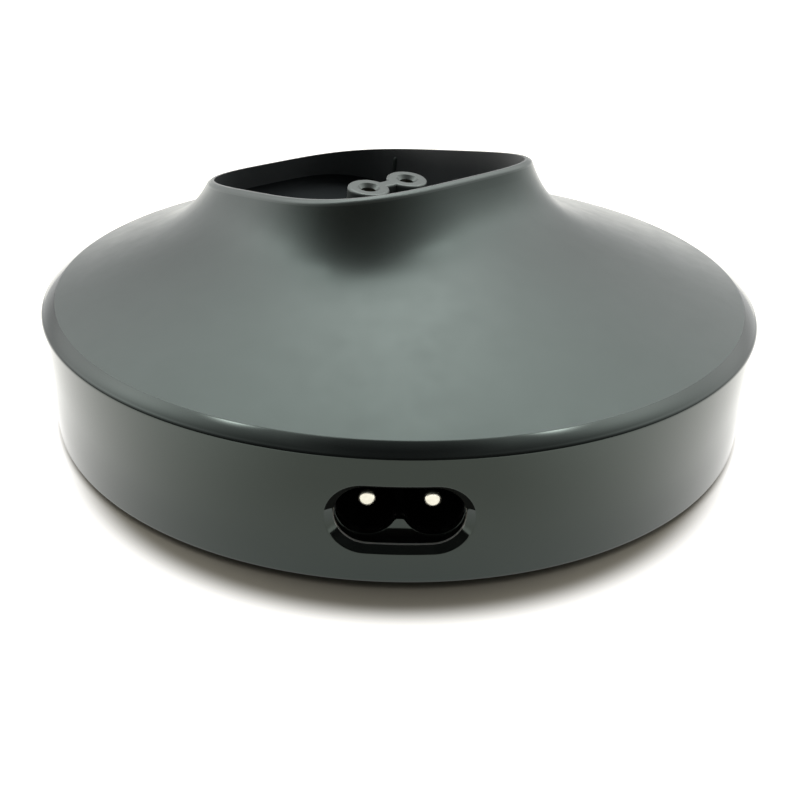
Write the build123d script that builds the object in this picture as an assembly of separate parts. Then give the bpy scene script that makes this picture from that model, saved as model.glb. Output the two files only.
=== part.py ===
from build123d import *
import os
from math import atan, atan2, cos, degrees, hypot, pi, radians, sin

# A round, weighted shaver charging stand. Its cover rises from a low side wall over a bevel and flares
# into a slanted collar, a rounded square well that a shaver's lower end stands in, leaning back a little.
# A two-pole plug stands up in the well, and a two-pole mains inlet opens in the side wall.
# Millimetres. The origin is on the floor under the middle of the base, +Z is up and -Y is the inlet side.

os.makedirs("parts", exist_ok=True)

# Side wall and top of the cover
stand_radius = 60.0
wall_bottom = 1.0  # air between the floor and the side wall
wall_top = 20.0
bevel_in = 2.2
bevel_up = 1.4
side_wall = 2.4
top_skin = 2.0
dome_slope = 0.32  # rise per millimetre at the outer part of the top
flare_length = 3.2  # distance in which the collar fades into the top
# Shares of the way from the collar to the bevel that the top is lofted through, outside and inside
dome_stations = (1.0, 0.82, 0.66, 0.52, 0.4, 0.3, 0.22, 0.155, 0.1, 0.055, 0.022)
skin_stations = (1.0, 0.8, 0.6, 0.44, 0.32, 0.22, 0.14)
skirt_reach = 4.0  # how far the top's surface runs on past the bevel, where the bevel cuts it
points_round = 40

# Collar and well: the side that the shaver faces is called its front
facing_azimuth = 131.25
opening_offset = 11.6  # from the middle of the base towards the front
opening_half_width = 22.2
opening_half_depth = 25.7
opening_power = 3.5  # 2 is an ellipse, more is squarer
opening_taper = 0.096  # share of the width lost towards the front
rim_height = 36.6  # at the middle of the opening
rim_slope = 0.163  # fall per millimetre towards the front
lip_width = 0.9
lip_drop = 0.4
lip_flat = 0.3
well_wall = 1.8
well_floor = 2.0
well_draft = 0.4
guide_rib_width = 0.9
guide_rib_proud = 0.7
guide_rib_forward = 13.3  # from the middle of the opening
guide_rib_top = 2.0  # under the rim
well_cut_above = 9.0  # how far the well's cut runs on above the rim

# Two-pole connectors, inlet and outlet alike
pole_spacing = 8.6
pin_radius = 1.2
tab_width = 2.8
tab_thickness = 0.8

# Outlet plug, along its own leaning axis from the middle of its end face
lean = 7.0
plug_forward = 3.7  # from the middle of the base towards the front
plug_face_height = 36.0
nose_length = 13.0
lobe_radius = 3.55
waist_half = 1.1
nose_round = 0.45
contact_bore = 1.25
contact_outer = 1.7
countersink_radius = 1.9
countersink_depth = 0.6
contact_set_back = 1.2
contact_tube = 11.0
contact_slit = 0.5
slit_stop = 2.0  # uncut end of the spring tube
flange_length = 24.0
flange_width = 12.0
flange_thickness = 2.5
flange_corner = 2.0
heel_length = 18.0
heel_width = 9.0
heel_depth = 3.0
heel_corner = 1.0
tail_drop = 1.6
tail_reach = 8.0
retainer_length = 38.0
retainer_width = 12.0
retainer_thickness = 2.0
retainer_corner = 3.0
retainer_screw_out = 15.5
post_radius = 3.2

# Mains inlet, from the middle of its mouth
inlet_height = 10.85
mouth_bevel = 1.1
mouth_half_length = 8.55
mouth_half_height = 4.2
mouth_depth = 2.8  # where the socket begins, behind the wall's outermost line
pad_depth = 4.0  # flat behind the mouth, from the wall's outermost line
pad_half_width = 14.5
socket_depth = 11.0
socket_lobe = 4.05
ridge_drop = 1.6  # from the pins' middle down to the ridge between them
socket_back = 2.0
socket_wall = 1.5
inlet_flange_width = 25.0
inlet_flange_height = 12.0
inlet_flange_thickness = 2.0
rail_thickness = 1.4
rail_overlap = 1.5
pin_tip_depth = 4.8  # behind the wall's outermost line
pin_tip_round = 0.45
pin_root_radius = 1.6  # shoulder in the housing's back wall
pin_tab_length = 7.5
rest_half_width = 5.0
rest_start = 2.0  # inside the housing's back end
rest_end = 10.0

# Push-on receptacles and leads
receptacle_length = 6.5
receptacle_wall = 0.6
receptacle_corner = 0.4
receptacle_end = 0.8  # past the tab's end
barrel_start = 0.4
barrel_length = 4.5
barrel_wall = 0.7
lead_radius = 0.9
lead_bend = 7.0
lead_straight = 7.0  # out of the barrel

# Base, ballast, feet and screws
base_bottom = 1.6
base_top = 4.2
base_chamfer = 0.6
ring_rib_height = 2.4
ring_rib_thickness = 1.4
ballast_in = 13.0  # from the side wall to the ballast
ballast_inner = 18.0
ballast_thickness = 4.0
notch_half_width = 16.0
notch_run = 14.0  # inward from the back of the inlet's housing
pillar_radius = 3.0
foot_in = 14.0  # from the side wall to a foot's middle
foot_radius = 5.5
foot_pocket = 0.8
foot_chamfer = 0.5
cover_screw_in = 9.0  # from the side wall to a screw's middle
boss_radius = 3.4
boss_hole_depth = 10.0
gusset_thickness = 1.4
gusset_bottom = 6.2
screw_radius = 1.3
head_radius = 2.8
head_height = 1.3
head_round = 0.5
head_recess = 0.1  # under the base plate's face
cross_length = 3.6
cross_width = 0.7
cross_depth = 0.7
cover_screw_length = 9.0
ballast_screw_length = 4.5
retainer_screw_length = 5.0

# Clearances
sliding_fit = 0.1
screw_fit = 0.05
base_fit = 0.25
plate_gap = 0.3  # over the base plate and round screw heads
boss_gap = 0.6
pillar_short = 0.1  # a pillar's end is this far under the ballast's face

# How solids are joined and cut
weld = 0.3  # how far an added piece sinks into what it joins
past = 1.0  # how far a cut runs on past the face that it opens
beyond = 80.0  # longer than anything it cuts
same_place = 0.01  # points this near are one

# Directions and places that follow from the above
facing = Vector(cos(radians(facing_azimuth)), sin(radians(facing_azimuth)), 0)
across = Vector(sin(radians(facing_azimuth)), -cos(radians(facing_azimuth)), 0)
upright = Vector(0, 0, 1)
opening_middle = facing * opening_offset
plug_axis = upright * cos(radians(lean)) - facing * sin(radians(lean))
plug_face = facing * plug_forward + upright * plug_face_height
plug_frame = Plane(origin=plug_face, x_dir=across, z_dir=plug_axis)
floor_point = plug_face - plug_axis * nose_length
edge_radius = stand_radius - bevel_in
edge_height = wall_top + bevel_up
inlet_frame = Plane(origin=(0, -stand_radius, inlet_height), x_dir=(1, 0, 0), z_dir=(0, -1, 0))
under_floor = -nose_length - well_floor
heel_bottom = under_floor - flange_thickness - heel_depth
post_top = under_floor + well_floor / 2
pad_face = stand_radius - pad_depth
inlet_back = pad_face - socket_depth - socket_back
ballast_outer = stand_radius - ballast_in
ballast_screw_circle = (ballast_outer + ballast_inner) / 2
foot_circle = stand_radius - foot_in
cover_screw_circle = stand_radius - cover_screw_in


def turned(radius, azimuth, height=0.0):
    """The point at a radius and an azimuth in degrees."""
    return Vector(radius * cos(radians(azimuth)), radius * sin(radians(azimuth)), height)


def closed_curve(points):
    """A smooth closed wire through points that go once round."""
    steps = [index / len(points) for index in range(len(points) + 1)]
    return Wire([Edge.make_spline(points, periodic=True, parameters=steps)])


def azimuths():
    """Equal steps once round, in radians."""
    return [2 * pi * index / points_round for index in range(points_round)]


def rim_point(angle, grow, drop):
    """A point of the opening's outline, grown outward and set down from the slanted plane of the rim.

    The outline is a superellipse, narrowed towards the front. The angle runs from across to facing."""
    half_width = opening_half_width + grow
    half_depth = opening_half_depth + grow
    shape = abs(cos(angle) / half_width) ** opening_power + abs(sin(angle) / half_depth) ** opening_power
    reach = shape ** (-1 / opening_power)
    forward = reach * sin(angle)
    sideways = reach * cos(angle) * (1 - opening_taper * forward / half_depth)
    height = rim_height - rim_slope * forward - drop
    return opening_middle + across * sideways + facing * forward + upright * height


def dome_point(azimuth, along, thickness):
    """A point of the flared top, near 0 by the collar and 1 at the bevel, set in by a thickness.

    Height over the bevel = slope * distance left + rise * (share of distance left) ** (distance / flare)."""
    edge = Vector(edge_radius * cos(azimuth), edge_radius * sin(azimuth), edge_height)
    aim = edge - opening_middle
    start = rim_point(atan2(aim.dot(facing), aim.dot(across)), lip_width, lip_drop)
    run = hypot(edge.X - start.X, edge.Y - start.Y)
    rise = start.Z - edge_height - dome_slope * run
    power = run / flare_length
    left = 1 - along
    height = edge_height + dome_slope * run * left + rise * left**power
    tilt = atan(dome_slope + rise / flare_length * left ** (power - 1))
    outward = Vector((edge.X - start.X) / run, (edge.Y - start.Y) / run, 0)
    place = start + outward * (run * along - thickness * sin(tilt))
    return Vector(place.X, place.Y, height - thickness * cos(tilt))


def top_body(thickness, radius):
    """Everything under the flared top, set in by a thickness and cut to a radius."""
    skirt_radius = stand_radius + skirt_reach
    skirt_fall = dome_slope * (skirt_radius - edge_radius) + thickness * hypot(1, dome_slope)
    skirt_height = edge_height - skirt_fall
    sections = [closed_curve([turned(skirt_radius, degrees(angle), skirt_height) for angle in azimuths()])]
    for along in skin_stations if thickness > 0 else dome_stations:
        sections.append(closed_curve([dome_point(angle, along, thickness) for angle in azimuths()]))
    if thickness > 0:
        last = [rim_point(angle, lip_width - thickness, 2 * thickness) for angle in outline_angles()]
    else:
        last = [rim_point(angle, lip_width, lip_drop) for angle in outline_angles()]
    sections.append(closed_curve(last))
    dome = Solid.make_loft(sections)
    below = Pos(0, 0, -beyond) * extrude(Circle(radius + past), skirt_height + beyond)
    column = Pos(0, 0, -beyond) * extrude(Circle(radius), 2 * beyond)
    return (dome + below) & column


def outline_angles():
    """Where the opening's outline is met by the lines that dome_point follows."""
    angles = []
    for azimuth in azimuths():
        aim = Vector(edge_radius * cos(azimuth), edge_radius * sin(azimuth), 0) - opening_middle
        angles.append(atan2(aim.dot(facing), aim.dot(across)))
    return angles


def well_body(grow, lower):
    """The well's inside, grown by a wall and lowered by a floor. It leans with the plug."""
    mouth = [rim_point(angle, grow, 0) + plug_axis * well_cut_above for angle in outline_angles()]
    bottom = []
    for angle in outline_angles():
        point = rim_point(angle, grow - well_draft, 0)
        fall = (point - floor_point).dot(plug_axis) + lower
        bottom.append(point - plug_axis * fall)
    return Solid.make_loft([closed_curve(bottom), closed_curve(mouth)], ruled=True)


def figure_eight(lobe, waist):
    """Two lobes one pole spacing apart and the band that joins them."""
    lobes = [Pos(side * pole_spacing / 2, 0) * Circle(lobe) for side in (-1, 1)]
    return lobes[0] + lobes[1] + Rectangle(pole_spacing, 2 * waist)


def socket_shape():
    """The inlet's socket: two lobes open to each other, but for a ridge between them from below."""
    above_pins = Pos(0, socket_lobe / 2) * Rectangle(pole_spacing, socket_lobe)
    return figure_eight(socket_lobe, ridge_drop) + above_pins


def drum(radius, bottom, top, x=0.0, y=0.0):
    """An upright cylinder between two heights."""
    return Pos(x, y, bottom) * extrude(Circle(radius), top - bottom)


def block(x_range, y_range, z_range):
    """A box between two corners."""
    size = [high - low for low, high in (x_range, y_range, z_range)]
    return Pos(x_range[0], y_range[0], z_range[0]) * Box(*size, align=(Align.MIN, Align.MIN, Align.MIN))


cover_screw_places = [turned(cover_screw_circle, 45 + 90 * index) for index in range(4)]
ballast_screw_places = [turned(ballast_screw_circle, 90 + 120 * index) for index in range(3)]
foot_places = [turned(foot_circle, 90 * index) for index in range(4)]


def make_outside():
    """The cover's outside as a solid: side wall, bevel, flared top and the sloped lip of the collar."""
    wall = [(0, wall_bottom), (stand_radius, wall_bottom), (stand_radius, wall_top)]
    cone_top = wall_top + bevel_up / bevel_in * stand_radius
    envelope = revolve(Plane.XZ * make_face(Polyline(*wall, (0, cone_top), close=True)), Axis.Z)
    lip_foot = closed_curve([rim_point(angle, lip_width, lip_drop) for angle in outline_angles()])
    lip_top = closed_curve([rim_point(angle, lip_flat, 0) for angle in outline_angles()])
    lip = Solid.make_loft([lip_foot, lip_top], ruled=True)
    return (top_body(0, stand_radius + past) & envelope) + lip


def make_cover():
    """The cover: outer shell, well, inlet window with its rails, and the screw bosses."""
    outside = make_outside()
    hollow = top_body(top_skin, stand_radius - side_wall)
    cup = well_body(well_wall, well_floor)
    cover = outside - (hollow - cup)
    core = top_body(top_skin / 2, stand_radius - side_wall / 2)

    for place in cover_screw_places:
        azimuth = degrees(atan2(place.Y, place.X))
        boss = drum(boss_radius, base_top, beyond, place.X, place.Y)
        gusset = block((cover_screw_circle, stand_radius - side_wall / 2),
                       (-gusset_thickness / 2, gusset_thickness / 2), (gusset_bottom, beyond))
        cover += (boss + Rot(0, 0, azimuth) * gusset) & core
    for side in (-1, 1):
        post = drum(post_radius, under_floor - flange_thickness, post_top, side * retainer_screw_out)
        cover += plug_frame.location * post

    pad_heights = (base_top + plate_gap, wall_top)
    pad = block((-pad_half_width, pad_half_width), (-stand_radius, -pad_face), pad_heights)
    cover += pad & drum(stand_radius - side_wall / 2, 0, wall_top)
    for side in (-1, 1):
        cover += make_rail(side)

    cover -= well_body(0, 0)
    cover += make_guide_ribs()
    nose_hole = offset(figure_eight(lobe_radius, waist_half), sliding_fit)
    through_floor = Pos(0, 0, under_floor - past) * extrude(nose_hole, well_floor + 2 * past)
    cover -= plug_frame.location * through_floor

    mouth = SlotOverall(2 * mouth_half_length, 2 * mouth_half_height)
    cover -= inlet_frame.location * (Pos(0, 0, -mouth_depth) * extrude(mouth, beyond))
    window_back = pad_face - stand_radius - past
    window = extrude(socket_shape(), past - mouth_depth - window_back)
    cover -= inlet_frame.location * (Pos(0, 0, window_back) * window)
    mouth_edges = cover.edges().filter_by(is_mouth_edge)
    cover = chamfer(mouth_edges, mouth_bevel)

    for place in cover_screw_places:
        cover -= drum(screw_radius + screw_fit, base_top - past, base_top + boss_hole_depth, place.X, place.Y)
    for side in (-1, 1):
        hole = drum(screw_radius + screw_fit, heel_bottom, post_top, side * retainer_screw_out)
        cover -= plug_frame.location * hole
    return cover


def is_mouth_edge(edge):
    """Whether an edge is where the inlet's window meets the outside of the side wall."""
    middle = edge @ 0.5
    on_wall = abs(hypot(middle.X, middle.Y) - stand_radius) < same_place
    in_length = abs(middle.X) < mouth_half_length + same_place
    in_height = abs(middle.Z - inlet_height) < mouth_half_height + same_place
    return on_wall and in_length and in_height and middle.Y < 0


def make_rail(side):
    """An upright rail that one end of the inlet's flange slides into from below."""
    slot_out = inlet_flange_width / 2 + sliding_fit
    lip_near = -pad_face + inlet_flange_thickness + sliding_fit
    heights = (base_top + plate_gap, inlet_height + inlet_flange_height / 2 + sliding_fit + rail_thickness)
    lip_far = lip_near + rail_thickness
    outer = slot_out + rail_thickness
    leg = block((slot_out, outer), (-pad_face - weld, lip_far), heights)
    lip = block((slot_out - rail_overlap, outer), (lip_near, lip_far), heights)
    stop_heights = (heights[1] - rail_thickness, heights[1])
    stop = block((slot_out - rail_overlap, outer), (-pad_face - weld, lip_near + weld), stop_heights)
    rail = leg + lip + stop
    return rail if side > 0 else mirror(rail, Plane.YZ)


def make_guide_ribs():
    """Two slim upright ribs on the well's side walls that guide the shaver's end."""
    ribs = []
    for side in (-1, 1):
        share = guide_rib_forward / opening_half_depth
        full = opening_half_width * (1 - share**opening_power) ** (1 / opening_power)
        wall = full * (1 - opening_taper * share)
        inner = wall - well_draft - guide_rib_proud - weld
        bar = block((inner, wall + weld), (-guide_rib_width / 2, guide_rib_width / 2), (-beyond, beyond))
        foot = opening_middle + facing * guide_rib_forward
        ribs.append(Plane(origin=foot, x_dir=across * side, z_dir=plug_axis).location * bar)
    zone = well_body(weld, weld) - well_body(-guide_rib_proud, 0)
    return ((ribs[0] + ribs[1]) & zone) & under_rib_tops()


def under_rib_tops():
    """The space under the slanted plane that the guide ribs end in."""
    slant = atan(rim_slope)
    normal = upright * cos(slant) + facing * sin(slant)
    plane = Plane(origin=opening_middle + upright * (rim_height - guide_rib_top), x_dir=across, z_dir=normal)
    return plane.location * (Pos(0, 0, -beyond) * extrude(Circle(beyond), beyond))


def make_plug_body():
    """The outlet plug's moulding: figure-eight nose, flange and heel, bored for its two contacts."""
    nose = Pos(0, 0, under_floor) * extrude(figure_eight(lobe_radius, waist_half), -under_floor)
    nose = fillet(nose.faces().sort_by(Axis.Z)[-1].edges(), nose_round)
    flange = Pos(0, 0, under_floor - flange_thickness) * extrude(
        RectangleRounded(flange_length, flange_width, flange_corner), flange_thickness)
    heel_outline = RectangleRounded(heel_length, heel_width, heel_corner)
    heel = Pos(0, 0, heel_bottom) * extrude(heel_outline, heel_depth)
    body = nose + flange + heel
    for side in (-1, 1):
        x = side * pole_spacing / 2
        body -= drum(contact_outer + screw_fit, heel_bottom - past, -contact_set_back, x)
        body -= drum(contact_bore, -contact_set_back - past, past, x)
        sink = Cone(contact_bore, countersink_radius, countersink_depth)
        body -= Pos(x, 0, -countersink_depth / 2) * sink
    return plug_frame.location * body


def make_contact(side):
    """A slit spring tube that grips a pin, its shank, and a tab bent forward under the plug."""
    x = side * pole_spacing / 2
    top = -contact_set_back - screw_fit
    contact = drum(contact_outer, heel_bottom, top, x)
    contact -= drum(contact_bore, top - contact_tube, top + past, x)
    slit_heights = (top - contact_tube + slit_stop, top + past)
    contact -= block((x - contact_slit / 2, x + contact_slit / 2), (-lobe_radius, lobe_radius), slit_heights)
    tab_heights = (heel_bottom - tail_drop, heel_bottom - tail_drop + tab_thickness)
    half_tab = tab_width / 2
    drop_heights = (tab_heights[0], heel_bottom + weld)
    drop = block((x - half_tab, x + half_tab), (-tab_thickness / 2, tab_thickness / 2), drop_heights)
    tab = block((x - half_tab, x + half_tab), (-tail_reach, tab_thickness / 2), tab_heights)
    contact += drop & drum(contact_outer, -beyond, 0, x)
    return plug_frame.location * (contact + tab)


def tab_end_frame(side):
    """Where a plug contact's tab ends: x along the tab's width, z outward along the tab."""
    middle = (side * pole_spacing / 2, -tail_reach, heel_bottom - tail_drop + tab_thickness / 2)
    return Plane(plug_frame.location * Plane(origin=middle, x_dir=(1, 0, 0), z_dir=(0, -1, 0)).location)


def inlet_tab_end_frame(side):
    """Where an inlet pin's tab ends, with z outward along the tab."""
    origin = (side * pole_spacing / 2, pin_tab_length - inlet_back, inlet_height)
    return Plane(origin=origin, x_dir=(1, 0, 0), z_dir=(0, 1, 0))


def make_receptacle(frame):
    """A push-on receptacle over a tab, and the barrel that is crimped on its lead."""
    outer = block((-tab_width / 2 - receptacle_wall, tab_width / 2 + receptacle_wall),
                  (-tab_thickness / 2 - receptacle_wall, tab_thickness / 2 + receptacle_wall),
                  (receptacle_end - receptacle_length, receptacle_end))
    outer = fillet(outer.edges().filter_by(Axis.Z), receptacle_corner)
    half_width = tab_width / 2 + screw_fit
    half_thickness = tab_thickness / 2 + screw_fit
    slot_length = (-receptacle_length, screw_fit)
    slot = block((-half_width, half_width), (-half_thickness, half_thickness), slot_length)
    barrel = drum(lead_radius + screw_fit + barrel_wall, barrel_start, receptacle_end + barrel_length)
    bore = drum(lead_radius + screw_fit, receptacle_end, receptacle_end + barrel_length + past)
    return frame.location * (outer + barrel - slot - bore)


def make_retainer():
    """The plate that holds the plug's flange up against the well's floor."""
    top = under_floor - flange_thickness
    plate = extrude(RectangleRounded(retainer_length, retainer_width, retainer_corner), retainer_thickness)
    opening = RectangleRounded(heel_length + 2 * sliding_fit, heel_width + 2 * sliding_fit, heel_corner)
    window = extrude(opening, beyond, both=True)
    plate = Pos(0, 0, top - retainer_thickness) * plate - window
    for side in (-1, 1):
        plate -= drum(screw_radius + sliding_fit, -beyond, 0, side * retainer_screw_out)
    return plug_frame.location * plate


def make_screw(length):
    """A pan-head screw with its head's underside at the origin and its shank up +Z."""
    head = fillet(drum(head_radius, -head_height, 0).faces().sort_by(Axis.Z)[0].edges(), head_round)
    slot = block((-cross_length / 2, cross_length / 2), (-cross_width / 2, cross_width / 2),
                 (-head_height - past, cross_depth - head_height))
    cross = slot + Rot(0, 0, 90) * slot
    return head + drum(screw_radius, 0, length) - cross


def make_inlet_body():
    """The inlet's moulding: sliding flange and housing, with the socket."""
    front = -pad_face
    back = -inlet_back
    flange_z = (inlet_height - inlet_flange_height / 2, inlet_height + inlet_flange_height / 2)
    half_flange = inlet_flange_width / 2
    flange = block((-half_flange, half_flange), (front, front + inlet_flange_thickness), flange_z)
    profile = SlotOverall(pole_spacing + 2 * socket_lobe + 2 * socket_wall, 2 * (socket_lobe + socket_wall))
    frame = Plane(origin=(0, back, inlet_height), x_dir=(1, 0, 0), z_dir=(0, -1, 0))
    housing = frame.location * extrude(profile, back - front)
    cavity = extrude(socket_shape(), socket_depth + past)
    body = flange + housing - frame.location * (Pos(0, 0, socket_back) * cavity)
    for side in (-1, 1):
        hole = extrude(Pos(side * pole_spacing / 2, 0) * Circle(pin_root_radius), socket_back + past, both=True)
        body -= frame.location * hole
    return body


def make_pin(side):
    """A round contact pin with a domed tip, its shoulder, and the flat tab behind the housing."""
    length = stand_radius - pin_tip_depth - inlet_back
    root = (side * pole_spacing / 2, -inlet_back, inlet_height)
    frame = Plane(origin=root, x_dir=(1, 0, 0), z_dir=(0, -1, 0))
    shaft = drum(pin_radius, 0, length)
    shaft = fillet(shaft.faces().sort_by(Axis.Z)[-1].edges(), pin_tip_round)
    shoulder = drum(pin_root_radius, 0, socket_back)
    half_tab = tab_width / 2
    tab = block((-half_tab, half_tab), (-tab_thickness / 2, tab_thickness / 2), (-pin_tab_length, 0))
    return frame.location * (shaft + shoulder + tab)


def make_base():
    """The base plate: foot pockets, screw seats, the ballast's ring rib and pillars, and the inlet's rest."""
    plate = drum(stand_radius - side_wall - base_fit, base_bottom, base_top)
    plate = chamfer(plate.faces().sort_by(Axis.Z)[0].edges(), base_chamfer)
    rib_inner = ballast_outer + base_fit
    ring = drum(rib_inner + ring_rib_thickness, base_top - weld, base_top + ring_rib_height)
    ring -= drum(rib_inner, 0, beyond)
    ring -= block((-notch_half_width, notch_half_width), (-stand_radius, 0), (0, beyond))
    for place in cover_screw_places:
        ring -= drum(boss_radius + boss_gap, 0, beyond, place.X, place.Y)
    plate += ring
    for place in ballast_screw_places:
        pillar_top = base_top + ballast_thickness - pillar_short
        plate += drum(pillar_radius, base_top - weld, pillar_top, place.X, place.Y)
        plate -= drum(screw_radius + screw_fit, base_top - past, beyond, place.X, place.Y)
    for place in cover_screw_places:
        plate -= drum(head_radius + plate_gap, 0, base_bottom + head_height + head_recess, place.X, place.Y)
        plate -= drum(screw_radius + sliding_fit, 0, beyond, place.X, place.Y)
    for place in foot_places:
        plate -= drum(foot_radius + sliding_fit, 0, base_bottom + foot_pocket, place.X, place.Y)
    housing_bottom = inlet_height - socket_lobe - socket_wall
    rest = block((-rest_half_width, rest_half_width), (-inlet_back - rest_end, -inlet_back - rest_start),
                 (base_top - weld, housing_bottom))
    return plate + rest


def make_ballast():
    """The steel ring that weighs the base down, open in front for the inlet."""
    ring = drum(ballast_outer, base_top, base_top + ballast_thickness)
    ring -= drum(ballast_inner, 0, beyond)
    ring -= block((-notch_half_width, notch_half_width), (-stand_radius, notch_run - inlet_back), (0, beyond))
    for place in ballast_screw_places:
        ring -= drum(pillar_radius + sliding_fit, 0, beyond, place.X, place.Y)
    return ring


def make_foot(place):
    """A soft disc in its pocket under the base."""
    foot = drum(foot_radius, 0, base_bottom + foot_pocket, place.X, place.Y)
    return chamfer(foot.faces().sort_by(Axis.Z)[0].edges(), foot_chamfer)


def make_lead(side):
    """An insulated lead from an inlet receptacle to a plug receptacle, straight runs and tangent bends."""
    start = inlet_tab_end_frame(side)
    end = tab_end_frame(side)
    in_barrel = receptacle_end + screw_fit
    clear = barrel_length + lead_straight
    path = FilletPolyline(
        start.origin + start.z_dir * in_barrel,
        start.origin + start.z_dir * clear,
        end.origin + end.z_dir * clear,
        end.origin + end.z_dir * in_barrel,
        radius=lead_bend)
    return sweep(Plane(origin=path @ 0, z_dir=path % 0) * Circle(lead_radius), path=path)


def export_all():
    """Build every piece and write one file for each."""
    seat = base_bottom + head_height + head_recess
    cover_screws = [Pos(place.X, place.Y, seat) * make_screw(cover_screw_length)
                    for place in cover_screw_places]
    ballast_top = base_top + ballast_thickness
    ballast_screws = [Pos(place.X, place.Y, ballast_top) * (Rot(180, 0, 0) * make_screw(ballast_screw_length))
                      for place in ballast_screw_places]
    retainer_bottom = under_floor - flange_thickness - retainer_thickness
    retainer_screws = []
    for side in (-1, 1):
        screw = Pos(side * retainer_screw_out, 0, retainer_bottom) * make_screw(retainer_screw_length)
        retainer_screws.append(plug_frame.location * screw)
    pieces = {
        "top_cover": make_cover(),
        "base_plate": make_base(),
        "ballast_weight": make_ballast(),
        "ballast_screws": Compound(children=ballast_screws),
        "cover_screws": Compound(children=cover_screws),
        "inlet_body": make_inlet_body(),
        "inlet_pin_left": make_pin(-1),
        "inlet_pin_right": make_pin(1),
        "inlet_receptacles": Compound(children=[make_receptacle(inlet_tab_end_frame(n)) for n in (-1, 1)]),
        "plug_body": make_plug_body(),
        "plug_contact_left": make_contact(-1),
        "plug_contact_right": make_contact(1),
        "plug_receptacles": Compound(children=[make_receptacle(tab_end_frame(n)) for n in (-1, 1)]),
        "plug_retainer": make_retainer(),
        "retainer_screws": Compound(children=retainer_screws),
        "lead_left": make_lead(-1),
        "lead_right": make_lead(1),
    }
    for name, place in zip(("right", "back", "left", "front"), foot_places):
        pieces["foot_" + name] = make_foot(place)
    for name, shape in pieces.items():
        export_step(shape, "parts/" + name + ".step")


export_all()
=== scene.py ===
import math

import bpy
import numpy as np
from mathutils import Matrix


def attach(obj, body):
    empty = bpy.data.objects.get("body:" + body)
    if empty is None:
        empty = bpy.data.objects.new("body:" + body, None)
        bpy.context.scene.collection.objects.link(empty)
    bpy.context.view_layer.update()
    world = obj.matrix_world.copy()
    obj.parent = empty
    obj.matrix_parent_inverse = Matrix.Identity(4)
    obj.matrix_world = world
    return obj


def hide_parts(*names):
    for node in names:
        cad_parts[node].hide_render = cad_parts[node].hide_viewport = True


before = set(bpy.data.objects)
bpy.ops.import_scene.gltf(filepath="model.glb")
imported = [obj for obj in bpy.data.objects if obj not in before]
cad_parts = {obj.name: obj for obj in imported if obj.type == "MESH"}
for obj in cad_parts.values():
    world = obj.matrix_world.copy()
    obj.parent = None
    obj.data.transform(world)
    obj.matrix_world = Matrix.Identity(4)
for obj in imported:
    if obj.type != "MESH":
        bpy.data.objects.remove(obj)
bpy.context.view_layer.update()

# Looks of a round, weighted shaver charging stand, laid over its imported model.
# Shapes are worked out in millimetres, in the model's frame, and put into the meshes in metres.

millimetre = 0.001

# Sizes of the cover, as the model has them
stand_radius, wall_bottom, wall_top = 60.0, 1.0, 20.0
bevel_in, bevel_up = 2.2, 1.4
side_wall, top_skin = 2.4, 2.0
dome_slope, flare_length = 0.32, 3.2
facing_azimuth, opening_offset = math.radians(131.25), 11.6
opening_half_width, opening_half_depth = 22.2, 25.7
opening_power, opening_taper = 3.5, 0.096
rim_height, rim_slope = 36.6, 0.163
lip_width, lip_drop, lip_flat = 0.9, 0.4, 0.3
well_wall, well_floor, well_draft, well_cut_above = 1.8, 2.0, 0.4, 9.0
lean, plug_forward, plug_face_height, nose_length = math.radians(7.0), 3.7, 36.0, 13.0
guide_rib_forward, guide_rib_proud = 13.3, 0.7

# Sizes of the mains inlet, as the model has them
inlet_height, bevel_depth, mouth_depth, pad_depth = 10.85, 1.1, 2.8, 4.0
lobe_out, lobe_radius, ridge_drop = 4.3, 4.05, 1.6

# Sizes that are the looks' own, or a little off the model's
crown_out, crown_down = 1.5, 0.7  # from the bevel's upper edge to the corner of its swell
guide_rib_width, guide_rib_top = 1.4, 1.2  # the ribs end this far under the rim
guide_rib_tip, guide_rib_sunk, guide_rib_below = 1.2, 0.35, 0.3  # round end, in wall, under floor
bevel_half_length, bevel_half_height = 9.7, 5.21  # of the inlet's mouth, outside
mouth_half_length, mouth_half_height = 8.42, 4.3  # of the inlet's mouth, inside its bevel
pad_share = 0.93  # of the window's inner border

# Shares of the way from one row to another at which the cover's rows lie
floor_shares, wall_shares, middle_share = (0.3, 0.6, 0.85), (0.4, 0.55, 0.7, 0.85), 0.5
top_first, top_from, top_span, top_rows, top_crowding = 0.01, 0.02, 0.955, 52, 1.5
bevel_from, bevel_to, bevel_rows = 0.12, 0.8, 7
under_shares = (0.93, 0.8, 0.6, 0.44, 0.32, 0.22, 0.15)
under_gap = 0.4  # how far the inner wall ends under the top's inside
join_down, join_share = 8.0, 0.8  # the top's inside meets the well so far down, at most this share
blend_shares = (0.35, 0.7, 0.88)  # from the window's border to the edge of the mouth's bevel

# How far each corner is cut back where it is rounded: the well and lip, the top and side wall, and
# the inlet's mouth
well_foot_cut, well_mouth_cut, lip_top_cut, lip_foot_cut = 0.9, 0.06, 0.13, 0.30
top_edge_cut, shoulder_cut, low_edge_cut, inner_edge_cut = 0.12, 0.22, 0.3, 0.1
brow_cut, throat_cut, face_cut = 0.12, 0.2, 0.03

# Finishes of the cover's faces, numbered as its material slots are
satin_zone, polished_zone, well_zone, painted_shade_zone, painted_highlight_zone, lip_zone = range(6)

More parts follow.
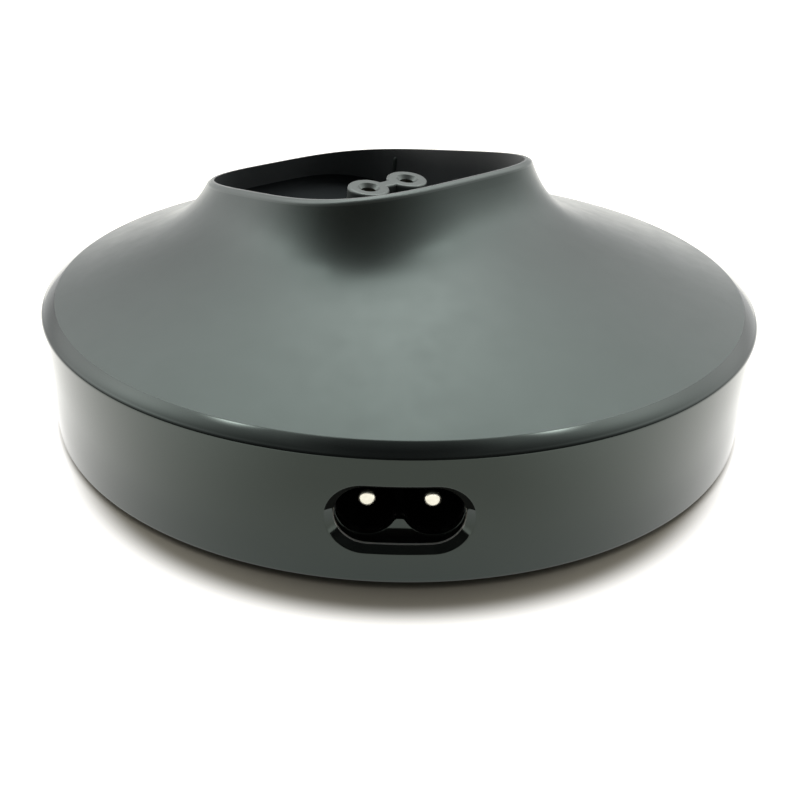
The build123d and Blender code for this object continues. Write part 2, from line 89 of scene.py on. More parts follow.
facing = np.array([math.cos(facing_azimuth), math.sin(facing_azimuth), 0.0])
across = np.array([math.sin(facing_azimuth), -math.cos(facing_azimuth), 0.0])
upright = np.array([0.0, 0.0, 1.0])
opening_middle = facing * opening_offset
plug_axis = upright * math.cos(lean) - facing * math.sin(lean)
floor_point = facing * plug_forward + upright * plug_face_height - plug_axis * nose_length
edge_radius, edge_height = stand_radius - bevel_in, wall_top + bevel_up
inner_radius = stand_radius - side_wall

# Columns round the cover, measured from the inlet: narrow ones across its window, wider elsewhere
window_reach, window_low, window_high = math.radians(13.0), 3.2, 18.4
window_columns, other_columns, window_rows = 130, 300, 24
turn = np.concatenate([
    np.linspace(-window_reach, window_reach, window_columns + 1),
    np.linspace(window_reach, 2 * math.pi - window_reach, other_columns + 1)[1:-1]])
azimuth = turn - math.pi / 2
columns = len(azimuth)


def put_mesh(name, points, quads, triangles, materials, face_material=None):
    """A mesh object from points in millimetres, four-sided and three-sided faces, all smooth."""
    faces = quads.tolist() + triangles.tolist()
    mesh = bpy.data.meshes.new(name)
    mesh.from_pydata((points * millimetre).tolist(), [], faces)
    for material in materials:
        mesh.materials.append(material)
    if face_material is not None:
        mesh.polygons.foreach_set("material_index", face_material.astype(np.int32))
    mesh.polygons.foreach_set("use_smooth", np.ones(len(faces), bool))
    mesh.update()
    piece = bpy.data.objects.new(name, mesh)
    bpy.context.scene.collection.objects.link(piece)
    return piece


def bands(rows):
    """Four-sided faces between each row of point numbers and the next, closed all the way round."""
    after = np.roll(rows, -1, axis=1)
    return np.stack([rows[:-1], after[:-1], after[1:], rows[1:]], 2)


def fan(pole, first, second):
    """Three-sided faces from a pole to each pair of neighbours on a row."""
    return np.stack([np.full(len(first), pole), first, second], 1)


def ring(radius, height):
    """A level circle round the base's axis: radius * cos azimuth, radius * sin azimuth, height."""
    return np.column_stack([
        radius * np.cos(azimuth), radius * np.sin(azimuth), np.full(columns, height)])


# Each column's angle round the opening, towards its place on the bevel's edge
aim = ring(edge_radius, 0.0) - opening_middle
angle = np.arctan2(aim @ facing, aim @ across)


def rim(grow, drop):
    """The opening's outline: (|cos a| / width) ** n + (|sin a| / depth) ** n = 1, narrowed towards
    the front, on a plane that falls towards the front. It is grown outward and set down from that
    plane."""
    half_width, half_depth = opening_half_width + grow, opening_half_depth + grow
    shape = (abs(np.cos(angle) / half_width) ** opening_power
             + abs(np.sin(angle) / half_depth) ** opening_power)
    reach = shape ** (-1 / opening_power)
    forward = reach * np.sin(angle)
    sideways = reach * np.cos(angle) * (1 - opening_taper * forward / half_depth)
    height = rim_height - rim_slope * forward - drop
    return (opening_middle + np.outer(sideways, across) + np.outer(forward, facing)
            + np.outer(height, upright))


def dome(along, thickness=0.0):
    """The flared top between collar (along 0) and bevel (along 1). Its height over the bevel is
    slope * distance left + rise * (share of distance left) ** (distance / flare length). Its inside
    lies a thickness under it, square to the slope."""
    edge = ring(edge_radius, edge_height)[:, :2]
    start = rim(lip_width, lip_drop)
    gap = edge - start[:, :2]
    run = np.linalg.norm(gap, axis=1)
    rise = start[:, 2] - edge_height - dome_slope * run
    power = run / flare_length
    left = 1 - along
    height = edge_height + dome_slope * run * left + rise * left**power
    tilt = np.arctan(dome_slope + rise / flare_length * left ** (power - 1))
    outward = gap / run[:, None]
    place = start[:, :2] + outward * (run * along - thickness * np.sin(tilt))[:, None]
    return np.column_stack([place, height - thickness * np.cos(tilt)])


def well_side(grow, floor_drop):
    """The well's leaning wall: straight lines along the plug's axis from the floor's outline, drawn
    in by the draft, to the outline above the rim. Gives the foot, and where the wall meets the
    rim's plane."""
    low, high = rim(grow - well_draft, 0), rim(grow, 0)
    fall = (low - floor_point) @ plug_axis + floor_drop
    foot = low - np.outer(fall, plug_axis)
    share = (fall / (fall + well_cut_above))[:, None]
    return foot, low * (1 - share) + high * share


def curve(start, corner, end, shares):
    """Rows on a curve between two rows: (1-t)^2 start + 2t(1-t) corner + t^2 end."""
    return [(1 - t) ** 2 * start + 2 * t * (1 - t) * corner + t**2 * end for t in shares]


def eased(before, corner, after, cut, steps=6):
    """Rows that round a corner: a curve from one point to another, each a cut away from the corner
    along its side, with one more row on each side, half a cut on, that keeps the sides flat."""
    beyond = 1.5
    back, forth = before - corner, after - corner
    back = back / np.linalg.norm(back, axis=1)[:, None]
    forth = forth / np.linalg.norm(forth, axis=1)[:, None]
    rounding = curve(
        corner + back * cut, corner, corner + forth * cut, np.linspace(0, 1, steps))
    return [corner + back * cut * beyond] + rounding + [corner + forth * cut * beyond]


def cover_rows():
    """Rows of the cover's closed skin: well floor, well wall, lip, flared top, bevel, side wall,
    foot, and the same way back inside. Rows on a straight side are start + (end - start) * share.
    Gives them, the finish of the faces that lead to each, the middles of the well's floor inside
    and outside, and the first row of the inlet's window outside and inside."""
    rows, zones = [], []

    def add(new_rows, zone):
        rows.extend(new_rows)
        zones.extend([zone] * len(new_rows))

    # Well: its wall's plastic painted lighter, as light on it, and its floor darker and dull, as
    # shade
    foot, mouth = well_side(0.0, 0.0)
    centre = foot.mean(0)
    # The well's floor and its rounded foot: painted shade, a darker, dull copy of the well's
    # plastic
    add([centre + (foot - centre) * share for share in floor_shares], painted_shade_zone)
    middle = centre + (foot - centre) * middle_share
    add(eased(middle, foot, mouth, well_foot_cut, steps=10), painted_shade_zone)
    add([foot + (mouth - foot) * share for share in wall_shares], well_zone)

    # Lip and flared top. The lip is the top's plastic painted lighter, a painted highlight over its
    # lit one
    lip_top, lip_foot = rim(lip_flat, 0.0), rim(lip_width, lip_drop)
    add(eased(foot, mouth, lip_top, well_mouth_cut), well_zone)
    add(eased(mouth, lip_top, lip_foot, lip_top_cut), lip_zone)
    add(eased(lip_top, lip_foot, dome(top_first), lip_foot_cut, steps=8), lip_zone)
    top_shares = top_from + top_span * np.linspace(0.0, 1.0, top_rows) ** top_crowding
    add([dome(along) for along in top_shares], satin_zone)

    # Bevel, which swells a little, and side wall: polished from halfway round the bevel's edge
    edge = ring(edge_radius, edge_height)
    crown = ring(edge_radius + crown_out, edge_height - crown_down)
    shoulder, low_edge = ring(stand_radius, wall_top), ring(stand_radius, wall_bottom)
    inner_low, inner_high = ring(inner_radius, wall_bottom), ring(inner_radius, wall_top)
    rounding = eased(dome(top_shares[-1]), edge, crown, top_edge_cut)
    halfway = len(rounding) // 2
    add(rounding[:halfway], satin_zone)
    add(rounding[halfway:], polished_zone)
    add(curve(edge, crown, shoulder, np.linspace(bevel_from, bevel_to, bevel_rows)), polished_zone)
    add(eased(crown, shoulder, low_edge, shoulder_cut), polished_zone)
    heights = np.linspace(window_high, window_low, window_rows + 1)
    outer_first = len(rows)
    add([ring(stand_radius, height) for height in heights], polished_zone)
    add(eased(shoulder, low_edge, inner_low, low_edge_cut), polished_zone)

    # Inside of the side wall and of the top, and outside of the well
    add(eased(low_edge, inner_low, inner_high, inner_edge_cut, steps=3), polished_zone)
    inner_first = len(rows)
    add([ring(inner_radius, height) for height in heights[::-1]], polished_zone)
    add([ring(inner_radius, edge_height - top_skin - under_gap)], well_zone)
    add([dome(along, top_skin) for along in under_shares], well_zone)
    cup_foot, cup_mouth = well_side(well_wall, well_floor)
    cup_fall = np.linalg.norm(cup_mouth - cup_foot, axis=1)[:, None]
    join = cup_mouth + (cup_foot - cup_mouth) * np.minimum(join_down / cup_fall, join_share)
    cup_centre = cup_foot.mean(0)
    add([join, cup_foot, cup_centre + (cup_foot - cup_centre) * middle_share], well_zone)
    return rows, zones, centre, cup_centre, outer_first, inner_first


def inlet_loops(outer, inner):
    """Loops that make the inlet's mouth, from the window's outer border to its inner one. Each is a
    ring round the same level spine, stretched or pinched: a place on the spine, at a share of its
    half length, plus a half height times the way from the spine to the border. Gives the loops and
    the finishes of the faces between them."""
    along_wall = stand_radius * np.arctan2(outer[:, 0], -outer[:, 1])
    rise = outer[:, 2] - inlet_height
    spine = bevel_half_length - bevel_half_height
    share = np.clip(along_wall / spine, -1, 1)
    reach = np.column_stack([along_wall - share * spine, rise])
    way = reach / np.linalg.norm(reach, axis=1)[:, None]

    def on_wall(x, h):
        """Places on the side wall, x along it and h over the inlet's middle."""
        theta = x / stand_radius
        return np.column_stack([
            stand_radius * np.sin(theta), -stand_radius * np.cos(theta), inlet_height + h])

    def behind(x, h, depth):
        """Places on a plane, a depth behind the wall's outermost line."""
        return np.column_stack([x, np.full(len(x), -stand_radius + depth), inlet_height + h])

    def oval(half_length, half_height):
        """An oval round the spine: two half circles joined by straight lines."""
        on_spine = share * (half_length - half_height)
        return on_spine + half_height * way[:, 0], half_height * way[:, 1]

    def socket(depth, grow=0.0):
        """The socket's outline: two lobes joined up to their tops, with a ridge between them from
        below, where the depth under the middle is (circle ** n + ridge ** n) ** (1 / n)."""
        ridge_power = 12
        lobe = lobe_radius + grow
        x = share * lobe_out
        circle = np.sqrt(np.maximum(lobe**2 - (lobe_out - abs(x)) ** 2, 0.0))
        below = (circle**ridge_power + (ridge_drop + grow) ** ridge_power) ** (1 / ridge_power)
        between = abs(share) < 1
        px = np.where(between, x, x + lobe * way[:, 0])
        ph = np.where(between, np.where(way[:, 1] > 0, lobe, -below), lobe * way[:, 1])
        return behind(px, ph, depth)

    # Side wall, and the bevel down to the throat
    x, h = oval(bevel_half_length, bevel_half_height)
    wide = [on_wall(x * t + along_wall * (1 - t), h * t + rise * (1 - t)) for t in blend_shares]
    brow = on_wall(x, h)
    x, h = oval(mouth_half_length, mouth_half_height)
    throat_y = -np.sqrt(stand_radius**2 - x**2) + bevel_depth
    throat = np.column_stack([x, throat_y, inlet_height + h])
    loops = wide + eased(wide[-1], brow, throat, brow_cut, steps=5)
    bevel_start = len(wide) + 4

    # The throat's straight side, its edge a painted highlight, and the flat round the socket
    face_edge, land = behind(x, h, mouth_depth), socket(mouth_depth, 0.04)
    edge_start = len(loops) + 3
    loops += eased(brow, throat, face_edge, throat_cut, steps=7)
    edge_end = len(loops) - 2
    loops += eased(throat, face_edge, land, face_cut, steps=3)

    # The socket down to the flat pad behind it, as depths and how far each loop is grown
    loops += [socket(depth, grow) for depth, grow in (
        (mouth_depth, 0.06), (mouth_depth, 0.04), (mouth_depth + 0.01, 0.01),
        (mouth_depth + 0.04, 0.0), (mouth_depth + 0.08, 0.0), (pad_depth - 0.04, 0.0),
        (pad_depth - 0.01, 0.01), (pad_depth, 0.04))]
    pad = behind(inner[:, 0] * pad_share, (inner[:, 2] - inlet_height) * pad_share, pad_depth)
    loops += [(socket(pad_depth) + pad) / 2, pad]

    # Faces are numbered by the loop they lead to. The mouth's upper part is dull and painted as
    # shade, so it doesn't mirror the pins' tips.
    upper_part = way[:, 1] > 0.2
    zones = np.full((len(loops) + 1, len(outer)), polished_zone)
    zones[edge_start:edge_end] = painted_highlight_zone
    zones[bevel_start:edge_end + 1, upper_part] = painted_shade_zone
    return loops, zones


def make_cover(finishes):
    """The cover as one closed skin: its rows all the way round, a fan over each middle of the
    well's floor, and the loops of the mains inlet's mouth across the window in front."""
    rows, row_zones, centre, cup_centre, outer_first, inner_first = cover_rows()
    count = len(rows)
    number = np.arange(count * columns).reshape(count, columns)
    after = np.roll(number, -1, axis=1)
    poles = count * columns, count * columns + 1
    fans = np.vstack([fan(poles[0], number[0], after[0]), fan(poles[1], after[-1], number[-1])])
    keep = np.ones((count - 1, columns), bool)
    for first_row in (outer_first, inner_first):
        keep[first_row:first_row + window_rows, :window_columns] = False
    wall_quads = bands(number)[..., [0, 3, 2, 1]][keep]
    wall_zones = np.repeat(np.array(row_zones[1:])[:, None], columns, 1)[keep]

    def border(first_row, step):
        """Point numbers round the window, from its lower left corner to the right."""
        up = first_row + step * np.arange(window_rows + 1)
        right, left = number[up, window_columns], number[up[::-1], 0]
        bottom, top = number[up[0], :window_columns], number[up[-1], window_columns:0:-1]
        return np.concatenate([bottom, right[:-1], top, left[:-1]])

    outer_loop, inner_loop = border(outer_first + window_rows, -1), border(inner_first, 1)
    points = np.concatenate(rows)
    loops, mouth_zones = inlet_loops(points[outer_loop], points[inner_loop])
    size = len(outer_loop)
    loop_number = count * columns + 2 + np.arange(len(loops) * size).reshape(len(loops), size)
    chain = np.vstack([outer_loop[None], loop_number, inner_loop[None]])
    quads = np.vstack([wall_quads, bands(chain).reshape(-1, 4)])
    points = np.concatenate([points, centre[None], cup_centre[None]] + loops)
    fan_zones = np.repeat([painted_shade_zone, well_zone], columns)
    zones = np.concatenate([wall_zones, mouth_zones.ravel(), fan_zones])
    return put_mesh("cover_shell", points, quads, fans, finishes, zones)


def make_guide_rib(name, side, material):
    """A slim rib up the well's side wall: a rounded section, width * |sin t| ** 0.7 wide and
    proud * cos t high, carried from under the well's floor to under the rim, where it dies away as
    a quarter round, sqrt(1 - (share of the round end passed) ** 2)."""
    steps, levels = 17, 30
    row_crowding, section_power, least_tip = 0.6, 0.7, 0.0004
    base_share = guide_rib_forward / opening_half_depth
    full = opening_half_width * (1 - base_share**opening_power) ** (1 / opening_power)
    wall = full * (1 - opening_taper * base_share)
    sideways = across * side
    top = opening_middle + facing * guide_rib_forward + sideways * wall
    top = top + upright * (rim_height - rim_slope * guide_rib_forward)
    depth = (top - floor_point) @ plug_axis
    level = np.linspace(0, 1, levels) ** row_crowding
    down = guide_rib_top + (depth - guide_rib_top + guide_rib_below) * (1 - level)
    passed = np.clip(1 - (down - guide_rib_top) / guide_rib_tip, 0, 1)
    tip = np.sqrt(np.clip(1 - passed**2, least_tip, 1))
    bend = np.linspace(-math.pi / 2, math.pi / 2, steps)
    draft = well_draft * down / (depth + well_cut_above)
    out = guide_rib_proud * np.cos(bend)[None] * tip[:, None] - guide_rib_sunk + draft[:, None]
    wide = guide_rib_width / 2 * np.sign(np.sin(bend)) * abs(np.sin(bend)) ** section_power
    place = (top[None, None] - plug_axis * down[:, None, None] - sideways * out[..., None]
             + facing * (wide[None] * np.ones((levels, 1)))[..., None])
    grid = np.arange(levels * steps).reshape(levels, steps)
    after = np.roll(grid, -1, axis=1)
    quads = bands(grid).reshape(-1, 4)
    fans = np.vstack([fan(grid.size, after[0], grid[0]), fan(grid.size + 1, grid[-1], after[-1])])
    if side > 0:
        quads, fans = quads[:, ::-1], fans[:, ::-1]
    points = np.vstack([place.reshape(-1, 3), place[0].mean(0), place[-1].mean(0)])
    return put_mesh(name, points, quads, fans, (material,))


def link(tree, source, target):
    tree.links.new(source, target)


def calculate(tree, operation, first, second=None):
    """A math node of one or two values, sockets or numbers."""
    node = tree.nodes.new("ShaderNodeMath")
    node.operation = operation
    for socket, value in zip(node.inputs, (first, second)):
        if isinstance(value, bpy.types.NodeSocket):
            link(tree, value, socket)
        elif value is not None:
            socket.default_value = value
    return node.outputs[0]


def scaled(tree, value, factor, more):
    """value * factor + more."""
    return calculate(tree, "ADD", calculate(tree, "MULTIPLY", value, factor), more)


def opposite(tree, value):
    """1 - value."""
    return calculate(tree, "SUBTRACT", 1.0, value)


def remapped(tree, value, near, far, low=0.0, high=1.0, interpolation="LINEAR"):
    """A value between two numbers taken to between two others, and held at either end."""
    ramp = tree.nodes.new("ShaderNodeMapRange")
    ramp.interpolation_type = interpolation
    ramp.inputs["From Min"].default_value = near
    ramp.inputs["From Max"].default_value = far
    ramp.inputs["To Min"].default_value = low
    ramp.inputs["To Max"].default_value = high
    link(tree, value, ramp.inputs["Value"])
    return ramp.outputs["Result"]


def eased_between(tree, value, near, far):
    """0 under one number and 1 over another, eased between them."""
    return remapped(tree, value, near, far, interpolation="SMOOTHSTEP")


def split_axes(tree, place):
    """The X, Y and Z outputs of a place or a direction."""
    split = tree.nodes.new("ShaderNodeSeparateXYZ")
    link(tree, place, split.inputs[0])
    return split.outputs


def vector_math(tree, operation, place, other):
    """A value from a place or a direction and a fixed one."""
    node = tree.nodes.new("ShaderNodeVectorMath")
    node.operation = operation
    node.inputs[1].default_value = other
    link(tree, place, node.inputs[0])
    return node.outputs["Value"]


def mixed_colour(tree, factor, first, second):
    """A colour between two, each a socket or a plain colour."""
    mix = tree.nodes.new("ShaderNodeMix")
    mix.data_type = "RGBA"
    link(tree, factor, mix.inputs["Factor"])
    for name, colour in (("A", first), ("B", second)):
        if isinstance(colour, bpy.types.NodeSocket):
            link(tree, colour, mix.inputs[name])
        else:
            mix.inputs[name].default_value = (*colour, 1.0)
    return mix.outputs["Result"]


def new_material(name, colour, roughness, metallic=0.0, level=0.5, tint=(1.0, 1.0, 1.0)):
    """A material whose constants sit on the shader's own sockets."""
    material = bpy.data.materials.new(name)
    material.use_nodes = True
    shader = material.node_tree.nodes["Principled BSDF"]
    shader.inputs["Base Color"].default_value = (*colour, 1.0)
    shader.inputs["Roughness"].default_value = roughness
    shader.inputs["Metallic"].default_value = metallic
    shader.inputs["Specular IOR Level"].default_value = level
    shader.inputs["Specular Tint"].default_value = (*tint, 1.0)
    return material, material.node_tree, shader


def noise_on(tree, scale, detail, roughness=0.55):
    """Noise on the piece's own coordinates."""
    where = tree.nodes.new("ShaderNodeTexCoord")
    noise = tree.nodes.new("ShaderNodeTexNoise")
    noise.inputs["Scale"].default_value = scale
    noise.inputs["Detail"].default_value = detail
    noise.inputs["Roughness"].default_value = roughness
    link(tree, where.outputs["Object"], noise.inputs["Vector"])
    return noise.outputs["Fac"]


def drifting(tree, scale, detail, low=0.0, high=1.0):
    """Noise stretched from its usual range, 0.3 to 0.7, to run between two numbers."""
    return remapped(tree, noise_on(tree, scale, detail), 0.3, 0.7, low, high)


def add_bump(tree, shader, height, strength, distance):
    """Fine relief from a height, as deep as the distance in metres."""
    bump = tree.nodes.new("ShaderNodeBump")
    bump.inputs["Strength"].default_value = strength
    bump.inputs["Distance"].default_value = distance
    link(tree, height, bump.inputs["Height"])
    link(tree, bump.outputs["Normal"], shader.inputs["Normal"])


def moulded(name, low, high, rough, grain, level=0.5, tint=(1.0, 1.0, 1.0)):
    """Moulded plastic: a colour that drifts a little between two, a roughness that does too, and a
    fine grain, given as its scale, strength and depth."""
    material, tree, shader = new_material(name, low, rough[0], 0.0, level, tint)
    colour = mixed_colour(tree, drifting(tree, 90.0, 3.0), low, high)
    link(tree, colour, shader.inputs["Base Color"])
    link(tree, drifting(tree, 260.0, 4.0, *rough), shader.inputs["Roughness"])
    scale, strength, depth = grain
    add_bump(tree, shader, noise_on(tree, scale, 2.0, 0.7), strength, depth)
    return material


def metal(name, low, high, rough, scale=2500.0, strength=0.06, depth=0.00002):
    """Plated or drawn metal with faint drawing marks and a colour that drifts."""
    material, tree, shader = new_material(name, low, rough[0], 1.0)
    colour = mixed_colour(tree, drifting(tree, 300.0, 3.0), low, high)
    link(tree, colour, shader.inputs["Base Color"])
    link(tree, drifting(tree, 900.0, 3.0, *rough), shader.inputs["Roughness"])
    add_bump(tree, shader, noise_on(tree, scale, 2.0), strength, depth)
    return material


def plated_pin(name, tip, painted_shade_shank, tip_from, blend=0.0003, scuff=0.93):
    """A bright, lightly scuffed end and a shank painted dark as shade, told apart along the pin."""
    material, tree, shader = new_material(name, tip, 0.3, 1.0)
    along_pin = split_axes(tree, tree.nodes.new("ShaderNodeTexCoord").outputs["Object"])["Y"]
    past_tip = remapped(tree, along_pin, tip_from, tip_from + blend)
    scuffed = tuple(channel * scuff for channel in tip)
    bright = mixed_colour(tree, drifting(tree, 900.0, 3.0), tip, scuffed)
    link(tree, mixed_colour(tree, past_tip, bright, painted_shade_shank), shader.inputs["Base Color"])
    link(tree, drifting(tree, 1200.0, 2.0, 0.34, 0.42), shader.inputs["Roughness"])
    return material


satin_shell = moulded(
    "satin_shell", (0.026, 0.030, 0.028), (0.032, 0.037, 0.035), (0.29, 0.34),
    (5200.0, 0.10, 0.00003), 0.64, (0.80, 1.0, 0.92))
polished_shell = moulded(
    "polished_shell", (0.006, 0.007, 0.007), (0.009, 0.010, 0.010), (0.07, 0.11),
    (1600.0, 0.02, 0.00001), 0.5, (0.83, 1.0, 0.91))
# The well's wall and the cover's inside: the shell's plastic painted lighter, as light falling on
# it
well_painted_light = moulded(
    "well_painted_light", (0.042, 0.047, 0.048), (0.052, 0.058, 0.059), (0.40, 0.46),
    (3600.0, 0.05, 0.00002), 1.0)
inlet_black = moulded(
    "inlet_black", (0.004, 0.004, 0.005), (0.007, 0.007, 0.008), (0.30, 0.38),
    (3000.0, 0.04, 0.00002))
# The throat's edge in the inlet's mouth: black plastic painted light grey as a highlight
edge_painted_highlight = moulded(
    "edge_painted_highlight", (0.36, 0.37, 0.36), (0.42, 0.43, 0.42), (0.22, 0.28),
    (3000.0, 0.04, 0.00001), 1.0)
# The well's floor and the mouth's upper part: plastic painted darker and dull, as shade
dull_painted_shade = moulded(
    "dull_painted_shade", (0.018, 0.021, 0.022), (0.023, 0.026, 0.027), (0.60, 0.70),
    (3000.0, 0.05, 0.00002), 0.0)
# The lip: the top's plastic painted lighter and glossier, a painted highlight added to its real one
lip_painted_highlight = moulded(
    "lip_painted_highlight", (0.048, 0.055, 0.052), (0.056, 0.064, 0.060), (0.30, 0.35),
    (5200.0, 0.08, 0.00003), 0.72, (0.84, 1.0, 0.93))
plug_plastic = moulded(
    "plug_plastic", (0.042, 0.046, 0.044), (0.052, 0.057, 0.054), (0.34, 0.40),
    (4200.0, 0.06, 0.00002), 1.0, (0.86, 1.0, 0.93))
base_plastic = moulded(
    "base_plastic", (0.022, 0.022, 0.023), (0.032, 0.032, 0.034), (0.45, 0.58),
    (2800.0, 0.25, 0.00005))
foot_rubber = moulded(
    "foot_rubber", (0.035, 0.035, 0.036), (0.055, 0.055, 0.056), (0.75, 0.88),
    (3600.0, 0.3, 0.00006))
nickel = metal("nickel", (0.76, 0.74, 0.66), (0.84, 0.82, 0.74), (0.14, 0.22))
# The pins' shanks are nickel painted near black as shade, so they mirror nothing
pin_nickel = plated_pin("pin_nickel", (0.92, 0.90, 0.78), (0.05, 0.05, 0.045), -0.0548)
spring_bronze = metal("spring_bronze", (0.58, 0.44, 0.26), (0.66, 0.50, 0.30), (0.25, 0.36))
zinc_steel = metal("zinc_steel", (0.50, 0.51, 0.52), (0.60, 0.61, 0.62), (0.28, 0.42))
ballast_steel = metal(
    "ballast_steel", (0.28, 0.29, 0.30), (0.38, 0.38, 0.39), (0.35, 0.55), 1200.0, 0.15)
lead_brown = moulded(
    "lead_brown", (0.20, 0.085, 0.04), (0.24, 0.10, 0.045), (0.45, 0.55),
    (2600.0, 0.05, 0.00002))
lead_blue = moulded(
    "lead_blue", (0.03, 0.11, 0.38), (0.035, 0.13, 0.42), (0.45, 0.55),
    (2600.0, 0.05, 0.00002))

node_finish = {
    "top_cover": satin_shell, "base_plate": base_plastic, "ballast_weight": ballast_steel,
    "ballast_screws": zinc_steel, "cover_screws": zinc_steel, "inlet_body": inlet_black,
    "inlet_pin_left": pin_nickel, "inlet_pin_right": pin_nickel, "inlet_receptacles": nickel,
    "plug_body": plug_plastic, "plug_contact_left": spring_bronze,
    "plug_contact_right": spring_bronze, "plug_receptacles": nickel,
    "plug_retainer": base_plastic, "retainer_screws": zinc_steel, "lead_left": lead_brown,
    "lead_right": lead_blue, "foot_right": foot_rubber, "foot_back": foot_rubber,
    "foot_left": foot_rubber, "foot_front": foot_rubber,
}
for node, finish in node_finish.items():
    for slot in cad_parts[node].material_slots:
        slot.link = "DATA"
        slot.material = finish

cover = make_cover((satin_shell, polished_shell, well_painted_light, dull_painted_shade, edge_painted_highlight, lip_painted_highlight))
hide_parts("top_cover")
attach(cover, "root")
for name, side in (("guide_rib_left", -1), ("guide_rib_right", 1)):
    rib = make_guide_rib(name, side, satin_shell)
    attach(rib, "root")

white = (1.0, 1.0, 1.0, 1.0)


def floor_glow(tree):
    """How bright the floor's own white is. It is for the picture and for mirrored rays only, so it
    casts no light on the stand, and there is none under the stand. In the picture it starts past
    a crescent centred ahead of the stand, whose edge paints the outline of the soft shadow in
    front;
    the darkness inside it is the floor's real shade. Mirrored, it is brighter beside the stand and
    close round it, a painted reflection on the side wall. Distances are in metres."""
    stand_edge, shadow_edge = (0.0592, 0.0608), (0.0511, 0.0566)
    shadow_middle = (0.0, -0.0118, 0.0)
    beside_aside, beside_out, close_out = (0.020, 0.070), (0.058, 0.070), (0.060, 0.085)
    plain, more_beside, more_close = 0.84, 0.85, 0.40

    where = tree.nodes.new("ShaderNodeTexCoord").outputs["Object"]
    rays = tree.nodes.new("ShaderNodeLightPath").outputs
    from_axis = vector_math(tree, "DISTANCE", where, (0.0, 0.0, 0.0))
    open_floor = eased_between(tree, from_axis, *stand_edge)
    from_shadow = vector_math(tree, "DISTANCE", where, shadow_middle)
    past_shadow = eased_between(tree, from_shadow, *shadow_edge)
    in_picture = calculate(tree, "MULTIPLY", rays["Is Camera Ray"], past_shadow)

    # Extra glow seen only in mirrors, beside and close round the stand: a painted reflection
    aside = calculate(tree, "ABSOLUTE", split_axes(tree, where)["X"])
    beside = calculate(tree, "MULTIPLY", eased_between(tree, aside, *beside_aside),
                       eased_between(tree, from_axis, *beside_out))
    close = opposite(tree, eased_between(tree, from_axis, *close_out))
    close = calculate(tree, "MULTIPLY", close, opposite(tree, beside))
    amount = scaled(tree, beside, more_beside, plain)
    amount = scaled(tree, close, more_close, amount)
    mirrored = calculate(tree, "MAXIMUM", rays["Is Glossy Ray"], rays["Is Transmission Ray"])
    in_mirror = calculate(tree, "MULTIPLY", mirrored, amount)
    both = calculate(tree, "ADD", in_picture, in_mirror)
    return calculate(tree, "MULTIPLY", both, open_floor)


def make_floor(half_size=6.0, colour=(0.45, 0.42, 0.345, 1.0)):
    """A plain pale floor: a flat square, in metres."""
    corners = [(x * half_size, y * half_size, 0) for x, y in ((-1, -1), (1, -1), (1, 1), (-1, 1))]
    mesh = bpy.data.meshes.new("floor")
    mesh.from_pydata(corners, [], [(0, 1, 2, 3)])
    material = bpy.data.materials.new("floor_paper")
    material.use_nodes = True
    tree = material.node_tree
    tree.nodes.clear()
    paper = tree.nodes.new("ShaderNodeBsdfDiffuse")
    paper.inputs["Color"].default_value = colour
    glow = tree.nodes.new("ShaderNodeEmission")
    glow.inputs["Color"].default_value = white
    link(tree, floor_glow(tree), glow.inputs["Strength"])
    total = tree.nodes.new("ShaderNodeAddShader")
    link(tree, paper.outputs[0], total.inputs[0])
    link(tree, glow.outputs[0], total.inputs[1])
    output = tree.nodes.new("ShaderNodeOutputMaterial")
    link(tree, total.outputs[0], output.inputs["Surface"])
    mesh.materials.append(material)
    piece = bpy.data.objects.new("floor", mesh)
    bpy.context.scene.collection.objects.link(piece)
    return piece


floor = make_floor()

# Studio lamps, each an azimuth from straight behind towards the right, an elevation, a sharpness
# and a brightness: a broad one high behind, a broad and a narrower one on each side, and a very
# small one on each side, which makes a sparkle on the bevel
lamps = (
    (0.0, 59.0, 18.9, 5.15),
    (56.5, 29.5, 6.2, 2.1), (-58.5, 35.0, 7.5, 2.15),
    (61.0, 52.0, 45.0, 1.9), (-63.0, 46.0, 45.0, 1.6),
    (58.6, 62.8, 700.0, 14.0), (-57.5, 61.9, 700.0, 14.0))
room = 0.04


def studio_light(tree):
    """How bright the studio is in each direction. A lamp falls off as
    exp(sharpness * (cos of the angle from its middle - 1)), and the lamps add up with a dim room.
    All of it is dimmer towards the horizon and straight above, and white paper stands low
    behind."""
    horizon_height, horizon_light, horizon_more = (0.0, 0.45), 0.55, 0.45
    ceiling_height, ceiling_more = (0.94, 0.995), -0.75
    paper_height, paper_back, paper_light = (0.02, 0.30), (0.0, 0.6), 1.1

    where = tree.nodes.new("ShaderNodeTexCoord").outputs["Generated"]
    level = room
    for turned, raised, sharpness, brightness in lamps:
        turned, raised = math.radians(turned), math.radians(raised)
        lamp_way = (math.sin(turned) * math.cos(raised), math.cos(turned) * math.cos(raised),
                    math.sin(raised))
        cosine = vector_math(tree, "DOT_PRODUCT", where, lamp_way)
        fall = calculate(tree, "SUBTRACT", cosine, 1.0)
        fall = calculate(tree, "MULTIPLY", fall, sharpness)
        level = scaled(tree, calculate(tree, "EXPONENT", fall), brightness, level)
    axes = split_axes(tree, where)
    horizon = eased_between(tree, axes["Z"], *horizon_height)
    level = calculate(tree, "MULTIPLY", level, scaled(tree, horizon, horizon_more, horizon_light))
    ceiling = eased_between(tree, axes["Z"], *ceiling_height)
    level = calculate(tree, "MULTIPLY", level, scaled(tree, ceiling, ceiling_more, 1.0))
    behind = calculate(tree, "MULTIPLY",
                       opposite(tree, eased_between(tree, axes["Z"], *paper_height)),
                       eased_between(tree, axes["Y"], *paper_back))
    return scaled(tree, behind, paper_light, level)


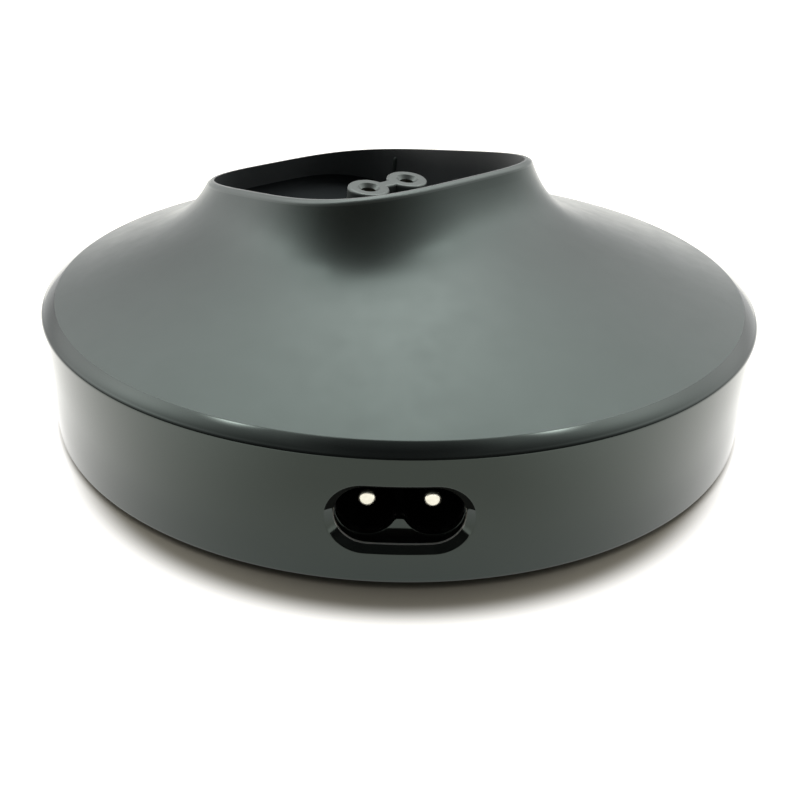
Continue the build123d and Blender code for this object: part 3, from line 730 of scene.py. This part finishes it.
def make_studio():
    """A world that lights the stand from the studio and shows the camera plain white."""
    world = bpy.data.worlds.new("studio")
    bpy.context.scene.world = world
    world.use_nodes = True
    tree = world.node_tree
    tree.nodes.clear()
    light = tree.nodes.new("ShaderNodeBackground")
    plain = tree.nodes.new("ShaderNodeBackground")
    for background in (light, plain):
        background.inputs["Color"].default_value = white
    link(tree, studio_light(tree), light.inputs["Strength"])
    choose = tree.nodes.new("ShaderNodeMixShader")
    rays = tree.nodes.new("ShaderNodeLightPath").outputs
    link(tree, rays["Is Camera Ray"], choose.inputs["Fac"])
    link(tree, light.outputs[0], choose.inputs[1])
    link(tree, plain.outputs[0], choose.inputs[2])
    output = tree.nodes.new("ShaderNodeOutputWorld")
    link(tree, choose.outputs[0], output.inputs["Surface"])


def make_camera(place, look_down, turned, roll, focal_pixels, width_pixels=800.0, sensor=36.0):
    """A camera at a place in metres, with its angles in degrees: how far it looks down, how far it
    is turned to the right, and its roll. Its focal length is in pixels of a picture that wide."""
    look_down, turned, roll = math.radians(look_down), math.radians(turned), math.radians(roll)
    ahead = np.array([math.cos(look_down) * math.sin(turned),
                      math.cos(look_down) * math.cos(turned), -math.sin(look_down)])
    right = np.array([math.cos(turned), -math.sin(turned), 0.0])
    above = np.cross(right, ahead)
    matrix = np.eye(4)
    matrix[:3, 0] = math.cos(roll) * right + math.sin(roll) * above
    matrix[:3, 1] = -math.sin(roll) * right + math.cos(roll) * above
    matrix[:3, 2] = -ahead
    matrix[:3, 3] = place
    data = bpy.data.cameras.new("camera")
    data.sensor_width = sensor
    data.lens = sensor * focal_pixels / width_pixels
    data.clip_start, data.clip_end = 0.01, 50.0
    viewer = bpy.data.objects.new("camera", data)
    viewer.matrix_world = [list(row) for row in matrix.T]
    bpy.context.scene.collection.objects.link(viewer)
    return viewer


make_studio()
camera = make_camera(
    place=(-0.00165, -0.15712, 0.08181), look_down=28.85, turned=0.76, roll=1.38,
    focal_pixels=950.0)
bpy.context.scene.camera = camera
bpy.context.scene.view_settings.view_transform = "Standard"
